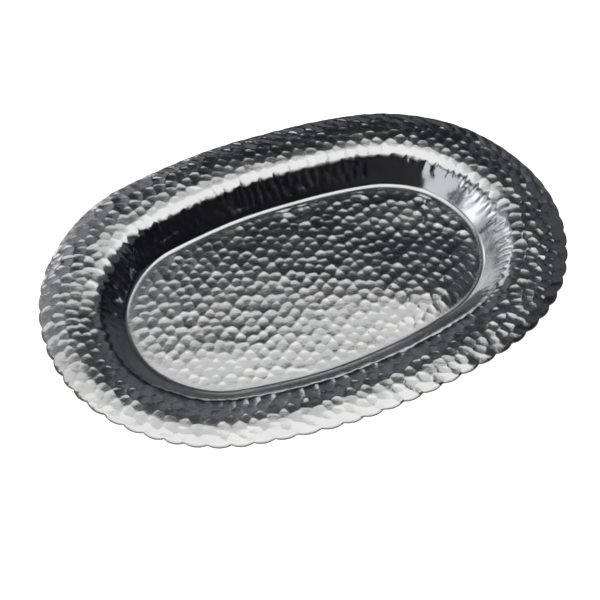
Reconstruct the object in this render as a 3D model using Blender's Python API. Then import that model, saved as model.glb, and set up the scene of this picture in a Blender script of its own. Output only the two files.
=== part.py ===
"""Oval hammered tray, raised from one sheet of metal.

Metres, +Z up.  The origin is the centre of the flat underside, +X runs along the
tray and +Y across it.  The floor, wall, shoulder and flange are one sheet of constant
thickness, so the tray is a single closed solid.
"""
import math

import bmesh
import bpy

NODE_NAME = "tray_body"

# Outer edge seen from above: two end arcs and two side arcs that meet smoothly.
HALF_LENGTH = 0.1775
HALF_WIDTH = 0.1240
END_RADIUS = 0.1170

# Section through the sheet, from the floor outwards.  Slopes rise away from the floor.
SHEET_THICKNESS = 0.0015
FILLET_RADIUS = 0.0040
WALL_SLOPE = math.radians(50.0)
WALL_PLAN_WIDTH = 0.0102
SHOULDER_RADIUS = 0.0180
FLANGE_INNER_SLOPE = math.radians(8.0)
FLANGE_OUTER_SLOPE = math.radians(-3.0)
FLANGE_WIDTH = 0.0310

# The hammered edge: shallow bulges with a notch between each two.
SCALLOP_COUNT = 72
POINTS_PER_SCALLOP = 3
SCALLOP_DEPTH = 0.0006

# Polished aluminium.
METAL_COLOUR = (0.80, 0.81, 0.83, 1.0)
METAL_ROUGHNESS = 0.16
SHARP_ANGLE = math.radians(40.0)


def clear_scene():
    """Remove every object that the file starts with."""
    for existing in list(bpy.data.objects):
        bpy.data.objects.remove(existing, do_unlink=True)


def outline_arcs():
    """The outer edge as (centre, radius, start angle, sweep), anticlockwise from +X.

    Every arc is cut where it crosses an axis of the tray, so the eight pieces are
    mirror images of each other in pairs.
    """
    end_centre = HALF_LENGTH - END_RADIUS
    excess = HALF_WIDTH - END_RADIUS
    side_centre = (end_centre**2 - excess**2) / (2.0 * excess)
    side_radius = HALF_WIDTH + side_centre
    join_angle = math.atan2(side_centre, end_centre)
    side_sweep = math.pi / 2 - join_angle
    arcs = []
    for quarter in range(4):
        start = quarter * math.pi / 2
        end_x = end_centre if quarter in (0, 3) else -end_centre
        side_y = -side_centre if quarter in (0, 1) else side_centre
        end_arc = ((end_x, 0.0), END_RADIUS)
        side_arc = ((0.0, side_y), side_radius)
        if quarter % 2 == 0:
            arcs.append((*end_arc, start, join_angle))
            arcs.append((*side_arc, start + join_angle, side_sweep))
        else:
            arcs.append((*side_arc, start, side_sweep))
            arcs.append((*end_arc, start + side_sweep, join_angle))
    return arcs


def edge_stations(count):
    """Evenly spaced (centre, radius, normal angle) stations along the outer edge."""
    arcs = outline_arcs()
    step = sum(radius * sweep for _, radius, _, sweep in arcs) / count
    stations = []
    travelled = 0.0
    for centre, radius, start, sweep in arcs:
        length = radius * sweep
        first = math.ceil(travelled / step - 1e-9)
        last = math.ceil((travelled + length) / step - 1e-9)
        for index in range(first, last):
            angle = start + (index * step - travelled) / radius
            stations.append((centre, radius, angle))
        travelled += length
    return stations


def follow_arc(points, radius, slopes):
    """Carry the section on along an arc; a negative radius makes it convex."""
    for slope in slopes:
        out, height, before = points[-1]
        out += radius * (math.sin(slope) - math.sin(before))
        height += radius * (math.cos(before) - math.cos(slope))
        points.append((out, height, slope))


def top_section():
    """The sheet's upper face as (distance out from the floor, height, slope)."""
    points = [(0.0, SHEET_THICKNESS, 0.0)]
    follow_arc(points, FILLET_RADIUS, [WALL_SLOPE / 2, WALL_SLOPE])
    out, height, slope = points[-1]
    points.append((out + WALL_PLAN_WIDTH, height + WALL_PLAN_WIDTH * math.tan(slope), slope))
    shoulder_middle = (WALL_SLOPE + FLANGE_INNER_SLOPE) / 2
    follow_arc(points, -SHOULDER_RADIUS, [shoulder_middle, FLANGE_INNER_SLOPE])
    flange_radius = FLANGE_WIDTH / (math.sin(FLANGE_INNER_SLOPE) - math.sin(FLANGE_OUTER_SLOPE))
    flange_middle = (FLANGE_INNER_SLOPE + FLANGE_OUTER_SLOPE) / 2
    follow_arc(points, -flange_radius, [flange_middle, FLANGE_OUTER_SLOPE])
    return points


def bottom_section(top):
    """The upper face moved through the sheet, square to its slope."""
    return [
        (
            out + SHEET_THICKNESS * math.sin(slope),
            height - SHEET_THICKNESS * math.cos(slope),
            slope,
        )
        for out, height, slope in top
    ]


def scallop_inset(index):
    """How far the edge point of this index lies inside the outline."""
    fraction = (index % POINTS_PER_SCALLOP) / POINTS_PER_SCALLOP
    bulge = 4.0 * fraction * (1.0 - fraction)
    return SCALLOP_DEPTH * (1.0 - bulge)


def add_ring(mesh, stations, inset, height, scalloped):
    """One closed ring of points, inset from the outer edge."""
    ring = []
    for index, (centre, radius, angle) in enumerate(stations):
        extra = scallop_inset(index) if scalloped else 0.0
        reach = radius - inset - extra
        x = centre[0] + reach * math.cos(angle)
        y = centre[1] + reach * math.sin(angle)
        ring.append(mesh.verts.new((x, y, height)))
    return ring


def bridge(mesh, ring_a, ring_b):
    """A band of quads between two rings."""
    for index in range(len(ring_a)):
        after = (index + 1) % len(ring_a)
        mesh.faces.new((ring_a[index], ring_a[after], ring_b[after], ring_b[index]))


def build_tray_mesh():
    """The tray as rings from the floor out over the flange and back underneath."""
    top = top_section()
    bottom = bottom_section(top)
    rim_width = top[-1][0]
    stations = edge_stations(SCALLOP_COUNT * POINTS_PER_SCALLOP)
    mesh = bmesh.new()
    rings = []
    for section in (top, bottom[::-1]):
        edge_point = top[-1] if section is top else bottom[-1]
        for point in section:
            inset = rim_width - point[0]
            rings.append(add_ring(mesh, stations, inset, point[1], point is edge_point))
    for ring_a, ring_b in zip(rings, rings[1:]):
        bridge(mesh, ring_a, ring_b)
    mesh.faces.new(rings[0])
    mesh.faces.new(rings[-1])
    bmesh.ops.recalc_face_normals(mesh, faces=mesh.faces)
    data = bpy.data.meshes.new(NODE_NAME)
    mesh.to_mesh(data)
    mesh.free()
    data.shade_smooth()
    data.set_sharp_from_angle(angle=SHARP_ANGLE)
    return data


def polished_metal():
    """The sheet's polished metal."""
    material = bpy.data.materials.new("polished_aluminium")
    material.use_nodes = True
    shader = material.node_tree.nodes["Principled BSDF"]
    shader.inputs["Base Color"].default_value = METAL_COLOUR
    shader.inputs["Metallic"].default_value = 1.0
    shader.inputs["Roughness"].default_value = METAL_ROUGHNESS
    return material


def build_tray():
    """The whole tray as one named object."""
    data = build_tray_mesh()
    data.materials.append(polished_metal())
    tray = bpy.data.objects.new(NODE_NAME, data)
    bpy.context.scene.collection.objects.link(tray)
    return tray


clear_scene()
build_tray()
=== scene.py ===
"""Looks of the oval hammered plate: one sheet of polished metal, planished all over.

The sheet is built as a single closed mesh that takes the CAD solid's place.  Its hammer
marks are shallow bowls that meet in ridges, and the mesh has points along those ridges.
Metres, +Z up, in the frame of the CAD part.
"""
import math
import random

import bpy
import numpy as np
from mathutils import Matrix, Vector
from mathutils.geometry import delaunay_2d_cdt


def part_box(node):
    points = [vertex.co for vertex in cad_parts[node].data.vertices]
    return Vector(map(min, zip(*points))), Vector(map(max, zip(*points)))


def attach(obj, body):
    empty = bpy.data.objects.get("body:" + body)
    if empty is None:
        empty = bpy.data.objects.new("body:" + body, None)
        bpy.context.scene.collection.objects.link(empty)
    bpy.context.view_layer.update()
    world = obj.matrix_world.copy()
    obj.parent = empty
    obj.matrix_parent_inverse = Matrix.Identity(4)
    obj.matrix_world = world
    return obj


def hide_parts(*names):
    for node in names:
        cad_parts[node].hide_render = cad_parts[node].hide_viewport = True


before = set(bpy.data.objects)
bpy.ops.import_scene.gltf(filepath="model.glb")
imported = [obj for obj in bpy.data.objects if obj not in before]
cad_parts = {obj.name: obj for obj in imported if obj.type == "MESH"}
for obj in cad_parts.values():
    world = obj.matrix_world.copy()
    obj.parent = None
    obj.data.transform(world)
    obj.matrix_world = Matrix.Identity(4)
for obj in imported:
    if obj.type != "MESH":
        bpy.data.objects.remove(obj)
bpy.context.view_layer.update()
node_low, node_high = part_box("tray_body")
mm = 0.001

# ---------------------------------------------------------------- the sheet
HALF_LENGTH = node_high.x
HALF_WIDTH = node_high.y
END_RADIUS = 0.66 * HALF_LENGTH
SHEET = 1.5 * mm
FILLET_RADIUS = 4.0 * mm
WALL_SLOPE = math.radians(50.0)
WALL_WIDTH = 10.2 * mm
SHOULDER_RADIUS = 18.0 * mm
FLANGE_INNER_SLOPE = math.radians(10.5)
FLANGE_OUTER_SLOPE = math.radians(-4.0)
FLANGE_WIDTH = 31.0 * mm
EDGE_ROUNDING = 0.30 * mm      # the upper face ends this far inside the outline

# ---------------------------------------------------------------- hand work
# An inset is a distance in from the outline.  A side is a direction in plan from +X.
RIM_TILT = math.radians(4.2)   # the flange rises more at this side than at the other
RIM_TILT_SIDE = math.radians(214.0)
RIM_TILT_BAND = (38.0 * mm, 11.0 * mm)   # insets between which the tilt builds up
RIM_TILT_SHARES = (0.88, 0.12)           # even part, and part that makes the rise the larger
WAVE_HEIGHT = 0.16 * mm        # long waves of the flange and of the floor
FLOOR_SWELLS = (               # along and across the rows, rise, half length, half width
    (74 * mm, -15 * mm, 1.50 * mm, 42 * mm, 25 * mm),
    (72 * mm, 46 * mm, -0.90 * mm, 44 * mm, 20 * mm),
    (-12 * mm, 5 * mm, 0.24 * mm, 34 * mm, 20 * mm),
    (-50 * mm, -57 * mm, 0.50 * mm, 26 * mm, 16 * mm),
)
WALL_CRUMPLE = 0.26 * mm       # uneven wall at the right end
NOTCH_DEPTH = 1.9 * mm         # between two petals, where the edge is worked most
NOTCH_REACH = 2.5 * mm
OUTLINE_WAVE = 0.28 * mm       # how far the outline strays from the even oval

# ---------------------------------------------------------------- the blows
BLOW_LENGTH = 8.2 * mm         # spacing of the blows along a row
BLOW_WIDTH = 6.5 * mm          # spacing of the rows: each overlaps the row behind it
FAR_RADIUS = 13.0 * mm         # a blow's bowl is steep on its far side
NEAR_RADIUS = 80.0 * mm        # and shallow on its near side
BOWL_REACH = 3.7 * mm          # the far side reaches that steepness this far out
BOWL_CENTRE = 0.7              # and has this share of it at the bowl's centre
BLOW_ROUNDNESS = 0.92
RIDGE_SOFTNESS = 0.008 * mm    # height over which two bowls blend into a ridge
RIDGE_LEVEL = 0.15 * mm        # height over a bowl's centre that counts as the even sheet
LARGEST_CELL = 11 * mm
NEIGHBOURS = 16                # the blows that can share a ridge with one blow
ROW_TURN = math.radians(-24.0)
FLOOR_SCATTER = 2.0 * mm
FLOOR_ROW_BEND = 2.6           # how fast the rows curve at the right end, per metre
FLOOR_BEND_START = 0.015
PETAL_COUNT = 72
PETAL_INSET = 4.4 * mm
PETAL_SCATTER = 1.2 * mm
PETAL_STEEPNESS = 0.35         # petals are wider than the other marks, so they are flatter
PETAL_LEAN = 9.0 * mm          # how far the petals' ridges sweep along the edge
PETAL_LEAN_REACH = 6.0 * mm
PETAL_THRESHOLD = 0.55         # only an edge worked more than this has petals
FLANGE_MARKS = (8.5 * mm, 37.0 * mm)     # insets of the round marks on the flange
FLANGE_GAPS = (0.92 * BLOW_LENGTH, 0.94 * BLOW_WIDTH)
STROKE_MARKS = (37.0 * mm, 57.0 * mm)    # insets of the strokes on the shoulder and wall
STROKE_GAPS = (5.7 * mm, 5.7 * mm)
STROKE_LOPSIDED = 0.3
STROKE_STEEPNESS = 2.2
SQUEEZE = 0.42                 # the strokes are long, because the shoulder is squeezed by this
SPREAD_TRIES = 40000           # random places from which the even spread is made
SPREAD_STARTS = 4000           # how many of them may become blows
SPREAD_NEAREST = 0.62          # least squared distance between two of those, in gaps
SPREAD_ROUNDS = 3
STEEPNESS_SPREAD = 0.28
FLOOR_STRENGTH = 0.85
EDGE_WORK_SIDE = math.radians(-110.0)    # the edge is worked most at this side
EDGE_WORK_LEAST = 0.25
SHOULDER_WORK_SIDE = math.radians(80.0)  # and the shoulder at this one
SHOULDER_WORK = (0.45, 2.0)    # least strength on the shoulder, and what is added to it
END_SIDE = math.radians(-40.0)           # the flange's marks are deepest towards this side
END_EXTRA = 0.2
QUIET_SHARE = 0.42             # and this much shallower away from it
OPPOSITE_SHARE = 0.4           # at the opposite end they get this share of that depth back
WALL_PLAIN = 7.0 * mm          # at the right end the strokes stop this much higher
RIGHT_END = math.radians(15.0)
FINE_WAVES = 0.035 * mm
UNDERSIDE_SHARE = 0.35         # depth of the marks underneath
SEED = 11

# ---------------------------------------------------------------- the studio
VIEW_TURN = math.radians(24.2)
VIEW_ELEVATION = math.radians(52.0)
VIEW_DISTANCE = 4.474 * HALF_LENGTH
VIEW_TARGET = (-0.061 * HALF_LENGTH, -0.060 * HALF_LENGTH, SHEET)
LENS = 72.0
SENSOR = 36.0
FLOOR_REACH = 30.0
OVERHEAD_TURN = (-0.242, 0.970, 0.0)     # which way the overhead lights' depth runs
UPRIGHT = (0.0, 0.0, 1.0)
PLATE = (0.0, 0.0, 0.0)
RIGHT_WALL = (0.05, 0.0, 0.02)
OVERHEAD_LIGHTS = (            # name, right, away, up, width, depth, radiance, colour
    ("overhead", -0.055, 0.095, 0.60, 0.66, 0.65, 0.50, (1.0, 1.0, 0.98)),
    ("overhead_soft", -0.10, 0.08, 0.61, 0.80, 0.78, 0.12, (1.0, 1.0, 0.99)),
    ("overhead_haze", -0.14, 0.095, 0.62, 0.95, 0.96, 0.035, (0.90, 0.93, 1.0)),
    ("overhead_core", -0.07, 0.03, 0.63, 0.64, 0.44, 0.30, (1.0, 1.0, 0.98)),
    ("overhead_back", -0.50, 0.58, 0.59, 0.56, 0.36, 0.15, (0.95, 0.96, 1.0)),
)
STANDING_LIGHTS = (            # name, place, aim, width, height, radiance, colour
    ("left", (-0.74, 0.11, 0.31), RIGHT_WALL, 0.50, 0.56, 0.50, (0.92, 0.91, 1.0)),
    ("left_core", (-0.70, 0.08, 0.30), RIGHT_WALL, 0.24, 0.30, 0.75, (0.98, 0.98, 1.0)),
    ("left_back", (-0.54, 0.50, 0.24), RIGHT_WALL, 0.28, 0.46, 0.60, (0.92, 0.91, 1.0)),
    ("left_front", (-0.50, -0.34, 0.36), PLATE, 0.36, 0.5, 0.70, (0.95, 0.95, 1.0)),
    ("back_left", (-0.85, 0.85, 0.85), PLATE, 0.9, 0.6, 0.12, (0.93, 0.95, 1.0)),
    ("back_low", (-0.80, 1.40, 0.62), PLATE, 1.0, 0.6, 0.60, (1.0, 1.0, 1.0)),
    ("back", (0.0, 1.3, 0.50), PLATE, 2.2, 0.28, 0.045, (0.80, 0.85, 1.0)),
    ("back_middle", (0.0, 1.3, 0.78), PLATE, 2.2, 0.34, 0.09, (0.82, 0.86, 1.0)),
    ("back_upper", (-0.5, 1.3, 1.06), PLATE, 1.1, 0.26, 0.075, (0.85, 0.88, 1.0)),
    ("front", (0.1, -1.6, 0.9), PLATE, 1.6, 1.2, 0.014, (0.93, 0.94, 1.0)),
    ("right", (0.84, 0.56, 0.82), PLATE, 1.4, 0.56, 0.065, (0.85, 0.88, 1.0)),
    ("front_low", (0.0, -1.8, 0.38), PLATE, 2.6, 0.62, 0.45, (1.0, 0.99, 0.97)),
    ("right_low", (1.6, -0.9, 0.27), PLATE, 0.9, 0.30, 0.35, (1.0, 0.99, 0.97)),
)


class Outline:
    """The four-arc oval of the outer edge; places on it are (station, inset)."""

    def __init__(self, half_length, half_width, end_radius):
        end_x = half_length - end_radius
        excess = half_width - end_radius
        side_y = (end_x**2 - excess**2) / (2.0 * excess)
        join = math.atan2(side_y, end_x)
        self.slant = (end_x, side_y)
        self.centres = np.array([[end_x, 0], [0, -side_y], [-end_x, 0], [0, side_y]])
        self.radii = np.array([end_radius, half_width + side_y] * 2)
        self.angles = np.array([-join, join, math.pi - join, math.pi + join])
        self.sweeps = np.array([2 * join, math.pi - 2 * join] * 2)
        self.starts = self.row_starts(0.0)[:4]
        self.length = float(self.row_starts(0.0)[4])

    def row_starts(self, inset):
        """Where each arc starts along the row at this inset, and the row's length."""
        return np.concatenate([[0.0], np.cumsum((self.radii - inset) * self.sweeps)])

    def row_stations(self, inset, count):
        """Stations that are evenly spaced along the row at this inset."""
        starts = self.row_starts(inset)
        along = (np.arange(count) + 0.5) * starts[4] / count
        arc = np.searchsorted(starts[:4], along, side="right") - 1
        stretch = self.radii[arc] / (self.radii[arc] - inset)
        return self.starts[arc] + (along - starts[arc]) * stretch

    def place(self, station, inset):
        """Plan position of stations and insets."""
        station = np.mod(station, self.length)
        arc = np.searchsorted(self.starts, station, side="right") - 1
        angle = self.angles[arc] + (station - self.starts[arc]) / self.radii[arc]
        reach = self.radii[arc] - inset
        out = np.stack([np.cos(angle), np.sin(angle)], axis=-1)
        return self.centres[arc] + reach[:, None] * out

    def locate(self, points):
        """Station and inset of plan positions."""
        x, y = np.abs(points[:, 0]), np.abs(points[:, 1])
        at_end = self.slant[0] * y < self.slant[1] * (x - self.slant[0])
        end_arc = np.where(points[:, 0] >= 0, 0, 2)
        side_arc = np.where(points[:, 1] >= 0, 1, 3)
        arc = np.where(at_end, end_arc, side_arc)
        away = points - self.centres[arc]
        turned = np.arctan2(away[:, 1], away[:, 0]) - self.angles[arc]
        turned = np.mod(turned + math.pi, 2 * math.pi) - math.pi
        station = self.starts[arc] + turned * self.radii[arc]
        return np.mod(station, self.length), self.radii[arc] - np.hypot(away[:, 0], away[:, 1])


OUTLINE = Outline(HALF_LENGTH, HALF_WIDTH, END_RADIUS)


# ---------------------------------------------------------------- section
def section_curve():
    """The sheet's upper face as arrays: distance out from the floor, height, slope."""
    points = [(0.0, SHEET, 0.0)]

    def follow(radius, end_slope, steps):
        for slope in np.linspace(points[-1][2], end_slope, steps + 1)[1:]:
            out, height, before = points[-1]
            out += radius * (math.sin(slope) - math.sin(before))
            height += radius * (math.cos(before) - math.cos(slope))
            points.append((out, height, slope))

    follow(FILLET_RADIUS, WALL_SLOPE, 24)
    out, height, slope = points[-1]
    points.append((out + WALL_WIDTH, height + WALL_WIDTH * math.tan(slope), slope))
    follow(-SHOULDER_RADIUS, FLANGE_INNER_SLOPE, 40)
    fall = math.sin(FLANGE_INNER_SLOPE) - math.sin(FLANGE_OUTER_SLOPE)
    follow(-FLANGE_WIDTH / fall, FLANGE_OUTER_SLOPE, 24)
    return np.array(points).T


SECTION_OUT, SECTION_HEIGHT, SECTION_SLOPE = section_curve()
RIM_WIDTH = SECTION_OUT[-1]


def section_at(inset):
    """Height and slope of the smooth sheet at these insets."""
    out = RIM_WIDTH - inset
    return np.interp(out, SECTION_OUT, SECTION_HEIGHT), np.interp(out, SECTION_OUT, SECTION_SLOPE)


# ---------------------------------------------------------------- marks space
# The blows are laid out in a space where they are round.  There the shoulder is
# squeezed, so that its blows come out long, and the edge is swept sideways, so that
# the petals lean.
def smooth_step(value, low, high):
    """From 0 at low to 1 at high, level at both ends."""
    share = np.clip((value - low) / (high - low), 0.0, 1.0)
    return share * share * (3.0 - 2.0 * share)


_inset_grid = np.linspace(-2 * mm, RIM_WIDTH, 600)
_squeezed = smooth_step(_inset_grid, 31 * mm, 38 * mm) - smooth_step(_inset_grid, 46 * mm, 52 * mm)
_rate = 1.0 - SQUEEZE * _squeezed
_steps = (_rate[1:] + _rate[:-1]) / 2 * np.diff(_inset_grid)
_mark_grid = np.concatenate([[0.0], np.cumsum(_steps)])
_mark_grid += RIM_WIDTH - _mark_grid[-1]


def lean(inset):
    """How far the marks are swept along the edge at this inset."""
    return PETAL_LEAN * np.exp(-np.maximum(inset, 0.0) / PETAL_LEAN_REACH)


def to_marks(station, inset):
    """Marks-space position of places on the sheet."""
    deep = inset > RIM_WIDTH
    squeezed = np.where(deep, inset, np.interp(inset, _inset_grid, _mark_grid))
    return OUTLINE.place(station - lean(inset), squeezed)


def from_marks(points):
    """Station and inset on the sheet of marks-space positions."""
    station, squeezed = OUTLINE.locate(points)
    rate_out = (_inset_grid[1] - _inset_grid[0]) / (_mark_grid[1] - _mark_grid[0])
    inset = np.interp(squeezed, _mark_grid, _inset_grid)
    inset = np.where(squeezed < _mark_grid[0], (squeezed - _mark_grid[0]) * rate_out, inset)
    inset = np.where(squeezed > RIM_WIDTH, squeezed, inset)
    return station + lean(inset), inset


def toward(station, angle):
    """How far the edge faces this way at each station, from -1 to 1."""
    outward = OUTLINE.place(station, np.full(len(station), -1.0))
    outward = outward - OUTLINE.place(station, np.zeros(len(station)))
    return outward @ np.array([math.cos(angle), math.sin(angle)])


def edge_work(station):
    """How strongly the edge is worked: most on one long side, least on the other."""
    share = smooth_step(toward(station, EDGE_WORK_SIDE), -0.5, 0.5)
    return EDGE_WORK_LEAST + (1.0 - EDGE_WORK_LEAST) * share


def petal_row():
    """Marks-space places of the petals, and the stations of the notches between them."""
    rng = random.Random(SEED)
    scatter = np.array([rng.uniform(-1.0, 1.0) * PETAL_SCATTER for _ in range(PETAL_COUNT)])
    stations = np.arange(PETAL_COUNT) * OUTLINE.length / PETAL_COUNT + scatter
    inset = np.full(PETAL_COUNT, PETAL_INSET)
    squeezed = np.interp(inset, _inset_grid, _mark_grid)
    following = np.append(stations[1:], stations[0] + OUTLINE.length)
    notches = np.sort(np.mod((stations + following) / 2 + lean(0.0), OUTLINE.length))
    worked = edge_work(stations) > PETAL_THRESHOLD
    return OUTLINE.place(stations, squeezed)[worked], notches


def along_rows(offsets):
    """Offsets turned so that the first number runs along the rows, the second across."""
    c, s = math.cos(ROW_TURN), math.sin(ROW_TURN)
    return offsets @ np.array([[c, -s], [s, c]])


def from_rows(offsets):
    """The reverse of along_rows."""
    c, s = math.cos(ROW_TURN), math.sin(ROW_TURN)
    return offsets @ np.array([[c, s], [-s, c]])


def nearest_of(points, places):
    """Which of the places is nearest to each point."""
    return np.concatenate([
        ((part[:, None, :] - places[None, :, :]) ** 2).sum(axis=2).argmin(axis=1)
        for part in np.array_split(points, 12)
    ])


def spread_blows(insets, gaps, fixed, seed, reach_edge=False):
    """Marks-space places of blows spread evenly over a band, but not in rows.

    The gaps are those along and across the rows.  The band lies between the insets, but
    reach_edge takes it out to the edge where there are no petals.
    """
    rng = np.random.default_rng(seed)
    low, high = np.interp(insets, _inset_grid, _mark_grid)
    corner = np.array([HALF_LENGTH, HALF_WIDTH])
    tries = rng.uniform(-corner, corner, (SPREAD_TRIES, 2))
    station, inset = OUTLINE.locate(tries)
    if reach_edge:
        low = np.where(edge_work(station) > PETAL_THRESHOLD, low, 0.0)
    tries = tries[(inset > low) & (inset < high)]
    scale = 1.0 / np.array(gaps)
    scaled = along_rows(tries) * scale
    still = along_rows(fixed) * scale
    kept = scaled[:1]
    for point in scaled[1:SPREAD_STARTS]:
        if ((kept - point) ** 2).sum(axis=1).min() > SPREAD_NEAREST:
            kept = np.vstack([kept, point])
    for _ in range(SPREAD_ROUNDS):
        owner = nearest_of(scaled, np.concatenate([kept, still]))
        mine = owner < len(kept)
        count = np.bincount(owner[mine], minlength=len(kept))
        middle = np.stack([
            np.bincount(owner[mine], scaled[mine][:, axis], minlength=len(kept)) for axis in (0, 1)
        ], axis=1)
        kept = np.where(count[:, None] > 0, middle / np.maximum(count, 1)[:, None], kept)
    return from_rows(kept / scale)


def floor_blows():
    """Places of the blows on the floor: rows that curve away at the right end."""
    rng = random.Random(SEED + 3)
    places = []
    reach = int(0.18 / BLOW_WIDTH)     # enough rows and columns to cover the floor
    for row in range(-reach, reach + 1):
        for column in range(-reach, reach + 1):
            along = (column + 0.5 * (row % 2)) * BLOW_LENGTH
            across = row * BLOW_WIDTH
            across -= FLOOR_ROW_BEND * max(0.0, along - FLOOR_BEND_START) ** 2
            along += rng.uniform(-FLOOR_SCATTER, FLOOR_SCATTER)
            across += rng.uniform(-FLOOR_SCATTER, FLOOR_SCATTER)
            places.append((along, across))
    places = from_rows(np.array(places))
    _, inset = OUTLINE.locate(places)
    return places[inset > RIM_WIDTH + 1.5 * mm]


PETALS, NOTCHES = petal_row()
_round = spread_blows(FLANGE_MARKS, FLANGE_GAPS, PETALS, SEED + 2, reach_edge=True)
_strokes = spread_blows(STROKE_MARKS, STROKE_GAPS, _round, SEED + 1)
BLOWS = np.concatenate([PETALS, _round, _strokes, floor_blows()])
_stroke_start = len(PETALS) + len(_round)
_stroke_part = slice(_stroke_start, _stroke_start + len(_strokes))
LOPSIDED = np.ones(len(BLOWS))
LOPSIDED[_stroke_part] = STROKE_LOPSIDED
_least, _most = 1 - STEEPNESS_SPREAD, 1 + STEEPNESS_SPREAD
STEEPNESS = np.random.default_rng(SEED + 9).uniform(_least, _most, len(BLOWS))
STEEPNESS[:len(PETALS)] *= PETAL_STEEPNESS
STEEPNESS[_stroke_part] *= STROKE_STEEPNESS


# ---------------------------------------------------------------- heights
def waves(points, length, seed):
    """A smooth field between about -1 and 1 that changes over this length."""
    rng = random.Random(seed)
    total = np.zeros(len(points))
    for _ in range(7):
        angle, phase = rng.uniform(0, math.tau), rng.uniform(0, math.tau)
        number = math.tau / (length * rng.uniform(0.75, 1.35))
        along = points[:, 0] * math.cos(angle) + points[:, 1] * math.sin(angle)
        total += np.sin(number * along + phase)
    return total / 3.2


def bowl(offsets, steepness, lopsided):
    """Height of a blow's bowl at these offsets from its centre, steepest on the far side."""
    turned = along_rows(offsets)
    along = turned[..., 0] * BLOW_ROUNDNESS
    across = turned[..., 1]
    square = along**2 + across**2
    near = square / NEAR_RADIUS
    steepening = np.minimum(square / BOWL_REACH**2, 1.0) ** 2
    far = square * (BOWL_CENTRE + (1.0 - BOWL_CENTRE) * steepening) / FAR_RADIUS
    share = 0.5 + 0.5 * lopsided * across / np.sqrt(square + 1e-12)
    return steepness * (near + (far - near) * share) / 2.0


def bowls(points):
    """Height of the lowest bowl at marks-space points, with softened ridges."""
    heights = np.empty(len(points))
    for first in range(0, len(points), 3000):
        part = points[first:first + 3000]
        gap = bowl(part[:, None, :] - BLOWS[None, :, :], STEEPNESS, LOPSIDED)
        lowest = gap.min(axis=1)
        share = np.exp(-(gap - lowest[:, None]) / RIDGE_SOFTNESS).sum(axis=1)
        heights[first:first + 3000] = lowest - RIDGE_SOFTNESS * np.log(share)
    return heights


def blow_strength(station, inset):
    """How deep the blows are, from the edge to the middle of the floor."""
    knots = np.array([0, 6.5, 10, 31, 36, 42]) * mm
    values = [1.1, 1.1, 1.05, 1.0, 0.9, 0.9]
    on_rim = np.interp(inset, knots, values)
    facing = toward(station, END_SIDE)
    quiet = QUIET_SHARE * (1.0 - np.where(facing > 0.0, 1.0, OPPOSITE_SHARE) * facing**4)
    quiet *= smooth_step(inset, 6 * mm, 10 * mm)
    on_rim *= 1.0 + END_EXTRA - quiet
    on_far = smooth_step(toward(station, SHOULDER_WORK_SIDE), -0.5, 0.4)
    on_end = smooth_step(toward(station, RIGHT_END), 0.3, 0.75)
    worked = SHOULDER_WORK[0] + SHOULDER_WORK[1] * np.maximum(on_far, on_end)
    on_rim *= 1.0 + smooth_step(inset, 31 * mm, 41 * mm) * (worked - 1.0)
    plain = WALL_PLAIN * on_end
    on_rim *= 1.0 - smooth_step(inset, 46 * mm - plain, 51.5 * mm - 0.6 * plain)
    on_floor = smooth_step(inset, RIM_WIDTH + 1.0 * mm, RIM_WIDTH + 6.0 * mm)
    return np.where(inset > RIM_WIDTH, FLOOR_STRENGTH * on_floor, on_rim)


def marks(station, inset):
    """How far the hammer marks lie above or below the sheet."""
    plan = OUTLINE.place(station, inset)
    strength = blow_strength(station, inset) * (1.0 + 0.18 * waves(plan, 45 * mm, SEED + 3))
    fine = FINE_WAVES * waves(plan, 7 * mm, SEED + 6)
    return strength * (bowls(to_marks(station, inset)) - RIDGE_LEVEL + fine)


def sway(station, inset):
    """How far the whole sheet lies above or below its even section."""
    plan = OUTLINE.place(station, inset)
    on_rim = 1.0 - smooth_step(inset, 40 * mm, 50 * mm)
    height = WAVE_HEIGHT * on_rim * waves(plan, 55 * mm, SEED + 4)
    on_wall = smooth_step(inset, 36 * mm, 42 * mm) - smooth_step(inset, 48 * mm, 53 * mm)
    crumpled = on_wall * smooth_step(toward(station, RIGHT_END), 0.2, 0.7)
    height += WALL_CRUMPLE * crumpled * waves(plan, 13 * mm, SEED + 7)
    start, end = RIM_TILT_BAND
    raised = (start - end) * smooth_step(start - inset, 0.0, start - end)
    facing = toward(station, RIM_TILT_SIDE)
    even, rising = RIM_TILT_SHARES
    height += math.tan(RIM_TILT) * facing * (even + rising * facing) * raised
    on_floor = smooth_step(inset, RIM_WIDTH, RIM_WIDTH + 12 * mm)
    height += WAVE_HEIGHT * on_floor * waves(plan, 80 * mm, SEED + 5)
    rows = along_rows(plan)
    for along, across, rise, length, width in FLOOR_SWELLS:
        far = ((rows[:, 0] - along) / length) ** 2 + ((rows[:, 1] - across) / width) ** 2
        height += rise * on_floor * np.exp(-far)
    return height


# ---------------------------------------------------------------- outline detail
def edge_shift(station, inset):
    """How far the hammered outline lies inside the even one, fading inwards."""
    station = np.mod(station, OUTLINE.length)
    after = np.searchsorted(NOTCHES, station) % PETAL_COUNT
    low = NOTCHES[after - 1]
    width = np.mod(NOTCHES[after] - low, OUTLINE.length)
    share = np.mod(station - low, OUTLINE.length) / width
    bulge = np.power(np.clip(4.0 * share * (1.0 - share), 0.0, 1.0), 0.8)
    fading = np.exp(-np.maximum(inset, 0.0) / NOTCH_REACH)
    notched = NOTCH_DEPTH * edge_work(station) * (1.0 - bulge) * fading
    around = math.tau * station / OUTLINE.length
    uneven = np.sin(3 * around + 0.6) + 0.8 * np.sin(5 * around + 2.0) + 0.6 * np.sin(11 * around)
    settled = 1.0 - smooth_step(inset, RIM_WIDTH - 2 * mm, RIM_WIDTH + 25 * mm)
    return notched + OUTLINE_WAVE * uneven * settled


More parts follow.
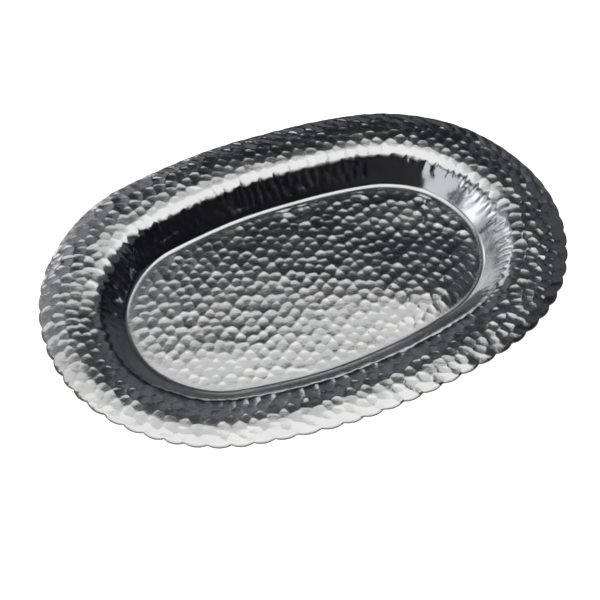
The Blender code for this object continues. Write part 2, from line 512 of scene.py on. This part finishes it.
def positions(station, inset, height, shift=0.0):
    """Points in space of places on the sheet, moved out sideways by shift."""
    plan = OUTLINE.place(station, inset + edge_shift(station, inset) - shift)
    return np.column_stack([plan, height])


# ---------------------------------------------------------------- cells
def cell_reach(angles):
    """How far each blow's cell reaches from its centre in each of these directions."""
    gaps = ((BLOWS[:, None, :] - BLOWS[None, :, :]) ** 2).sum(axis=2)
    nearest = np.argsort(gaps, axis=1)[:, 1:NEIGHBOURS + 1]
    rays = np.stack([np.cos(angles), np.sin(angles)], axis=-1)
    low = np.zeros((len(BLOWS), len(angles)))
    high = np.full((len(BLOWS), len(angles)), LARGEST_CELL)
    for _ in range(11):
        middle = (low + high) / 2
        offset = middle[..., None] * rays
        own = bowl(offset, STEEPNESS[:, None], LOPSIDED[:, None])
        apart = (BLOWS[:, None, :] + offset)[:, :, None, :] - BLOWS[nearest][:, None, :, :]
        others = bowl(apart, STEEPNESS[nearest][:, None, :], LOPSIDED[nearest][:, None, :])
        inside = own < others.min(axis=2)
        low = np.where(inside, middle, low)
        high = np.where(inside, high, middle)
    return middle, rays


def cell_points(count, rings):
    """Marks-space points on the ridges, and on rings inside each cell."""
    reach, rays = cell_reach(np.arange(count) * math.tau / count)
    edge = reach[..., None] * rays
    ridges = (BLOWS[:, None, :] + edge).reshape(-1, 2)
    inner = [BLOWS]
    for ring, skip in rings:
        inner.append((BLOWS[:, None, :] + ring * edge[:, ::skip]).reshape(-1, 2))
    return ridges, np.concatenate(inner)


def thinned(points, gap):
    """One point for each small square, so that shared ridges count once."""
    keys = np.round(points / gap).astype(np.int64)
    _, first = np.unique(keys, axis=0, return_index=True)
    return points[np.sort(first)]


# ---------------------------------------------------------------- faces
EDGE_STATIONS = 1080
BAND_OUTER = 52.0 * mm
BAND_INNER = RIM_WIDTH + 1.4 * mm


def rows_between(low, high, gap, along):
    """Stations and insets of evenly spaced rows, for the wall and the fillet."""
    stations, insets = [], []
    count = round(OUTLINE.row_starts((low + high) / 2)[4] / along)
    for inset in np.linspace(low, high, max(2, round((high - low) / gap) + 1)):
        stations.append(OUTLINE.row_stations((low + high) / 2, count))
        insets.append(np.full(count, inset))
    return np.concatenate(stations), np.concatenate(insets)


def face_places(corners, rings, thin, row_gap, row_along):
    """Stations and insets of one face's points; the outer edge's come first."""
    edge_station = np.arange(EDGE_STATIONS) * OUTLINE.length / EDGE_STATIONS
    edge_inset = np.full(EDGE_STATIONS, EDGE_ROUNDING)
    band_station, band_inset = rows_between(BAND_OUTER, BAND_INNER, row_gap, row_along)
    ridges, inner = cell_points(corners, rings)
    station, inset = from_marks(np.concatenate([thinned(ridges, thin), inner]))
    free = (inset > 1.1 * mm) & ((inset < BAND_OUTER - 0.5 * mm) | (inset > BAND_INNER + 0.5 * mm))
    stations = np.concatenate([edge_station, band_station, station[free]])
    insets = np.concatenate([edge_inset, band_inset, inset[free]])
    return stations, insets


def triangles(station, inset):
    """Triangles between the places, from a Delaunay triangulation of the plan."""
    plan = OUTLINE.place(station, inset) * 1000.0
    points = [Vector(p) for p in plan.tolist()]
    _, _, faces, originals, _, _ = delaunay_2d_cdt(points, [], [], 0, 1e-4)
    lookup = [group[0] for group in originals]
    return [tuple(lookup[corner] for corner in face) for face in faces]


def upper_face():
    """The upper face's points, their stations and insets, and its triangles."""
    rings = ((0.84, 1), (0.45, 2))
    station, inset = face_places(24, rings, 0.5 * mm, 0.75 * mm, 1.5 * mm)
    height, _ = section_at(inset)
    burnish = smooth_step(inset, 44 * mm, 50 * mm) - smooth_step(inset, 53 * mm, RIM_WIDTH)
    height = height + sway(station, inset) + marks(station, inset)
    height += 0.010 * mm * burnish * np.sin(inset / (0.36 * mm) + 2.5 * np.sin(station / (21 * mm)))
    return positions(station, inset, height), station, inset, triangles(station, inset)


def lower_face():
    """The same for the lower face, a sheet's thickness away."""
    station, inset = face_places(10, (), 1.5 * mm, 1.3 * mm, 3.0 * mm)
    height, slope = section_at(inset)
    pressed = UNDERSIDE_SHARE * marks(station, inset) + sway(station, inset)
    height = height - SHEET * np.cos(slope) + pressed
    points = positions(station, inset, height, SHEET * np.sin(slope))
    return points, station, inset, triangles(station, inset)


def edge_rows(upper, lower):
    """Rows of points round the cut edge, from the upper face's rim to the lower one's."""
    station = np.arange(EDGE_STATIONS) * OUTLINE.length / EDGE_STATIONS
    rows = []
    for share, inset in ((0.07, 0.09), (0.24, 0.0), (0.5, -0.03), (0.76, 0.0), (0.93, 0.09)):
        height = upper[:, 2] * (1.0 - share) + lower[:, 2] * share
        rows.append(positions(station, np.full(EDGE_STATIONS, inset * mm), height))
    return rows


def strip(first, second):
    """Quads between two rows of the edge, given the index that each starts at."""
    around = [(index, (index + 1) % EDGE_STATIONS) for index in range(EDGE_STATIONS)]
    return [(first + a, second + a, second + b, first + b) for a, b in around]


def build_sheet():
    """The whole plate as one closed mesh, with its places kept for the materials."""
    upper, upper_station, upper_inset, upper_faces = upper_face()
    lower, lower_station, lower_inset, lower_faces = lower_face()
    rows = edge_rows(upper[:EDGE_STATIONS], lower[:EDGE_STATIONS])
    points = np.concatenate([upper, lower, *rows])
    points[:, 2] -= points[:, 2].min()
    lower_start = len(upper)
    row_starts = [len(upper) + len(lower) + EDGE_STATIONS * row for row in range(len(rows))]
    starts = [0, *row_starts, lower_start]
    faces = list(upper_faces)
    faces += [tuple(lower_start + corner for corner in face[::-1]) for face in lower_faces]
    edge_first = len(faces)
    for first, second in zip(starts, starts[1:]):
        faces += strip(first, second)
    mesh = bpy.data.meshes.new("hammered_plate")
    mesh.from_pydata(points.tolist(), [], faces)
    mesh.update()
    edge_station = np.tile(np.arange(EDGE_STATIONS) * OUTLINE.length / EDGE_STATIONS, len(rows))
    edge_inset = np.zeros(len(edge_station))
    store(mesh, "station_mm", np.concatenate([upper_station, lower_station, edge_station]) / mm)
    store(mesh, "inset_mm", np.concatenate([upper_inset, lower_inset, edge_inset]) / mm)
    slots = np.zeros(len(faces), np.int32)
    slots[len(upper_faces):edge_first] = 1
    slots[edge_first:] = 2
    mesh.polygons.foreach_set("material_index", slots)
    mesh.shade_smooth()
    return mesh


def store(mesh, name, values):
    """One number for each point of the mesh, for the materials to read."""
    layer = mesh.attributes.new(name, "FLOAT", "POINT")
    layer.data.foreach_set("value", values.astype(np.float32))


# ---------------------------------------------------------------- materials
class Nodes:
    """A small helper for building a material's nodes."""

    def __init__(self, tree):
        self.tree = tree

    def add(self, kind, inputs=None, **settings):
        node = self.tree.nodes.new(kind)
        for name, value in settings.items():
            setattr(node, name, value)
        for name, value in (inputs or {}).items():
            if isinstance(value, bpy.types.NodeSocket):
                self.tree.links.new(value, node.inputs[name])
            else:
                node.inputs[name].default_value = value
        return node

    def place(self):
        return self.add("ShaderNodeTexCoord").outputs["Object"]

    def field(self, name):
        return self.add("ShaderNodeAttribute", attribute_name=name).outputs["Fac"]

    def noise(self, where, scale, detail=2.0):
        inputs = {"Vector": where, "Scale": scale, "Detail": detail}
        return self.add("ShaderNodeTexNoise", inputs).outputs["Fac"]

    def ramp(self, value, stops):
        node = self.add("ShaderNodeValToRGB", {"Fac": value})
        elements = node.color_ramp.elements
        while len(elements) < len(stops):
            elements.new(0.5)
        for element, (position, colour) in zip(elements, stops):
            element.position = position
            element.color = (*colour, 1.0)
        return node.outputs["Color"]

    def remap(self, value, low, high, to_low, to_high):
        inputs = {"Value": value, "From Min": low, "From Max": high}
        inputs.update({"To Min": to_low, "To Max": to_high})
        return self.add("ShaderNodeMapRange", inputs).outputs["Result"]

    def tint(self, colour, tint, share):
        """The colour multiplied by a tint, by this share."""
        node = self.add("ShaderNodeMix", {"Factor": share}, data_type="RGBA", blend_type="MULTIPLY")
        sockets = {socket.identifier: socket for socket in node.inputs}
        self.tree.links.new(colour, sockets["A_Color"])
        sockets["B_Color"].default_value = (*tint, 1.0)
        results = {socket.identifier: socket for socket in node.outputs}
        return results["Result_Color"]

    def bump(self, height, strength, distance, below=None):
        """A bumped normal, on top of another one if that is given."""
        inputs = {"Height": height, "Strength": strength, "Distance": distance}
        if below:
            inputs["Normal"] = below
        return self.add("ShaderNodeBump", inputs).outputs["Normal"]

    def math(self, operation, a, b):
        return self.add("ShaderNodeMath", {0: a, 1: b}, operation=operation).outputs["Value"]


def new_material(name):
    """A metallic material, with a node helper and its shader."""
    material = bpy.data.materials.new(name)
    material.use_nodes = True
    nodes = Nodes(material.node_tree)
    shader = material.node_tree.nodes["Principled BSDF"]
    shader.inputs["Metallic"].default_value = 1.0
    return material, nodes, shader


def polished_face(name, dull):
    """Polished, planished metal: clouds of wear, fine pits, burnishing lines on the wall, and
    painted shade along the outer edge.
    """
    material, nodes, shader = new_material(name)
    where = nodes.place()
    inset = nodes.field("inset_mm")
    station = nodes.field("station_mm")
    streak_place = nodes.add("ShaderNodeCombineXYZ", {"X": station, "Y": inset}).outputs["Vector"]
    stretch = nodes.add("ShaderNodeMapping", {"Vector": streak_place, "Scale": (0.02, 1.6, 1.0)})
    streaks = nodes.noise(stretch.outputs["Vector"], 1.0, 3.0)
    clouds = nodes.noise(where, 38.0, 4.0)
    pits = nodes.noise(where, 900.0, 3.0)
    on_wall = nodes.math(
        "MULTIPLY",
        nodes.remap(inset, 42.0, 48.0, 0.0, 1.0),
        nodes.remap(inset, 54.0, 56.5, 1.0, 0.0),
    )
    tone = nodes.ramp(clouds, [(0.3, (0.80, 0.81, 0.82)), (0.7, (0.90, 0.90, 0.895))])
    # Painted shade: the face is darkened and warmed within about 1.6 mm of the outline, where the
    # edge lies in shadow.
    edge_painted_shade = nodes.remap(inset, 0.3, 1.6, 1.0, 0.0)
    tinted = nodes.tint(tone, (0.72, 0.62, 0.54), edge_painted_shade)
    nodes.tree.links.new(tinted, shader.inputs["Base Color"])
    roughness = nodes.remap(clouds, 0.25, 0.75, 0.12 + dull, 0.18 + dull)
    nodes.tree.links.new(roughness, shader.inputs["Roughness"])
    pitted = nodes.bump(pits, 0.20, 0.00012)
    dented = nodes.bump(nodes.noise(where, 330.0, 3.0), 0.5, 0.00012, pitted)
    lined = nodes.bump(nodes.math("MULTIPLY", streaks, on_wall), 0.35, 0.0002, dented)
    nodes.tree.links.new(lined, shader.inputs["Normal"])
    return material


def cut_edge_painted_shade():
    """The sawn and filed edge of the sheet: duller than the faces, with painted shade that makes it
    darker and warmer.
    """
    material, nodes, shader = new_material("cut_edge_painted_shade")
    station = nodes.field("station_mm")
    grain_place = nodes.add("ShaderNodeCombineXYZ", {"X": station}).outputs["Vector"]
    grain = nodes.noise(grain_place, 0.5, 4.0)
    # The dark brown tone is painted shade for the edge's thickness in shadow; the grain along it
    # varies at random.
    tone = nodes.ramp(grain, [(0.3, (0.22, 0.19, 0.165)), (0.7, (0.36, 0.31, 0.27))])
    nodes.tree.links.new(tone, shader.inputs["Base Color"])
    nodes.tree.links.new(nodes.remap(grain, 0.2, 0.8, 0.35, 0.55), shader.inputs["Roughness"])
    return material


def make_plate():
    """The plate, which stands for the CAD part's one node."""
    mesh = build_sheet()
    mesh.materials.append(polished_face("polished_face", 0.0))
    mesh.materials.append(polished_face("plain_underside", 0.12))
    mesh.materials.append(cut_edge_painted_shade())
    plate = bpy.data.objects.new("hammered_plate", mesh)
    bpy.context.scene.collection.objects.link(plate)
    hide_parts("tray_body")
    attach(plate, "root")
    return plate


# ---------------------------------------------------------------- studio
def studio(x, y, z):
    """A place given as right, away from the camera and up, in the plate's frame."""
    c, s = math.cos(VIEW_TURN), math.sin(VIEW_TURN)
    return Vector((x * c + y * s, -x * s + y * c, z))


def make_camera():
    """The camera, in front of the plate and above it."""
    data = bpy.data.cameras.new("camera")
    data.lens = LENS
    data.sensor_width = SENSOR
    camera = bpy.data.objects.new("camera", data)
    bpy.context.scene.collection.objects.link(camera)
    back = studio(0.0, -math.cos(VIEW_ELEVATION), math.sin(VIEW_ELEVATION))
    camera.location = Vector(VIEW_TARGET) + back * VIEW_DISTANCE
    camera.rotation_euler = (-back).to_track_quat("-Z", "Y").to_euler()
    bpy.context.scene.camera = camera


def softbox(name, centre, aim, up, width, depth, radiance, colour):
    """A rectangular soft light whose face has this radiance."""
    data = bpy.data.lights.new(name, "AREA")
    data.shape = "RECTANGLE"
    data.size = width
    data.size_y = depth
    data.energy = radiance * width * depth * math.pi
    data.color = colour
    light = bpy.data.objects.new(name, data)
    back = (studio(*centre) - studio(*aim)).normalized()
    right = studio(*up).cross(back).normalized()
    light.location = studio(*centre)
    light.rotation_euler = Matrix((right, back.cross(right), back)).transposed().to_euler()
    light.visible_camera = False
    bpy.context.scene.collection.objects.link(light)


def make_floor():
    """A plain pale floor, just under the plate."""
    mesh = bpy.data.meshes.new("studio_floor")
    side = FLOOR_REACH
    corners = [(-side, -side, 0), (side, -side, 0), (side, side, 0), (-side, side, 0)]
    mesh.from_pydata(corners, [], [(0, 1, 2, 3)])
    material, nodes, shader = new_material("pale_floor")
    shader.inputs["Metallic"].default_value = 0.0
    shader.inputs["Base Color"].default_value = (0.9, 0.9, 0.9, 1.0)
    shader.inputs["Roughness"].default_value = 0.8
    shader.inputs["Emission Color"].default_value = (1.0, 1.0, 1.0, 1.0)
    shader.inputs["Emission Strength"].default_value = 0.85
    mesh.materials.append(material)
    floor = bpy.data.objects.new("studio_floor", mesh)
    floor.location.z = node_low.z - 0.2 * mm
    bpy.context.scene.collection.objects.link(floor)


def make_world():
    """Nearly black surroundings: all the light is from the floor and the soft lights."""
    world = bpy.data.worlds.new("studio")
    world.use_nodes = True
    background = world.node_tree.nodes["Background"]
    background.inputs["Color"].default_value = (0.005, 0.0052, 0.007, 1.0)
    background.inputs["Strength"].default_value = 1.0
    bpy.context.scene.world = world


def make_studio():
    """The camera, the floor, the surroundings and the soft lights."""
    make_camera()
    make_floor()
    make_world()
    for name, right, away, up, *rest in OVERHEAD_LIGHTS:
        softbox(name, (right, away, up), (right, away, 0.0), OVERHEAD_TURN, *rest)
    for name, place, aim, *rest in STANDING_LIGHTS:
        softbox(name, place, aim, UPRIGHT, *rest)
    bpy.context.scene.view_settings.view_transform = "Standard"


make_plate()
make_studio()
